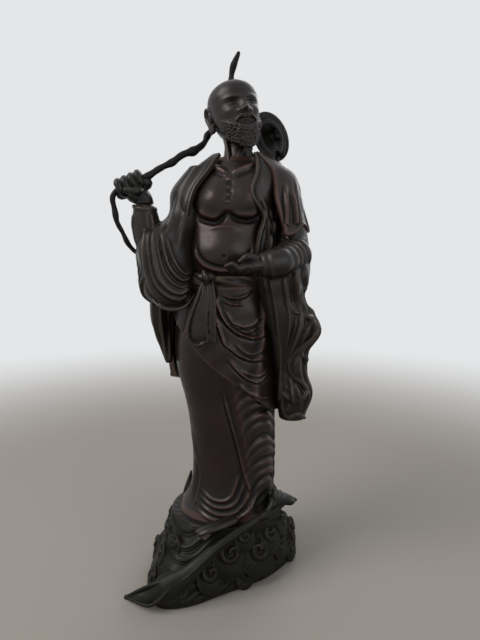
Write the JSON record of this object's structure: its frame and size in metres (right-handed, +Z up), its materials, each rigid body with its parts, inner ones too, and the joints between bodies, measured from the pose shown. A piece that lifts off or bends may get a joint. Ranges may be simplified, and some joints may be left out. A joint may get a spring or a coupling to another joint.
{
  "type": "figurine",
  "caption": "Standing robed sage in dark cast bronze, a branch over the shoulder and a hat behind it, on a base of curling waves; for display on a flat surface.",
  "frame": {"origin": "centre of the bounding box on the plane of the felt's underside, on which the figure stands", "axes": "+Z up, the figure faces -Y, its right hand is on the -X side"},
  "size_m": [0.1682, 0.1254, 0.4536],
  "materials": {
    "bronze_dark": "dark brown patinated bronze, waxed",
    "bronze_red": "red-brown patinated bronze, waxed",
    "bronze_green": "greenish black patinated bronze with dust in its recesses",
    "steel": "plain steel, hidden inside the base",
    "felt": "dark green felt"
  },
  "bodies": {
    "root": {"wave_base": "bronze_green", "base_cover": "steel", "base_felt": "felt", "base_studs": "steel", "base_washers": "steel", "base_nuts": "steel", "cover_screws": "steel", "reed_leaf": "bronze_green", "right_foot": "bronze_dark", "lower_robe": "bronze_red", "waist_pins": "bronze_dark", "overskirt": "bronze_dark", "coat_back": "bronze_dark", "torso": "bronze_red", "belt": "bronze_dark", "sash": "bronze_dark", "mantle": "bronze_red", "shoulder_cape": "bronze_red", "arm_pins": "bronze_dark", "right_sleeve": "bronze_green", "left_sleeve": "bronze_green", "right_hand": "bronze_green", "left_hand": "bronze_dark", "head": "bronze_dark", "neck_pin": "bronze_dark", "staff": "bronze_green", "hat": "bronze_green", "hat_peg": "bronze_dark"}
  },
  "joints": []
}
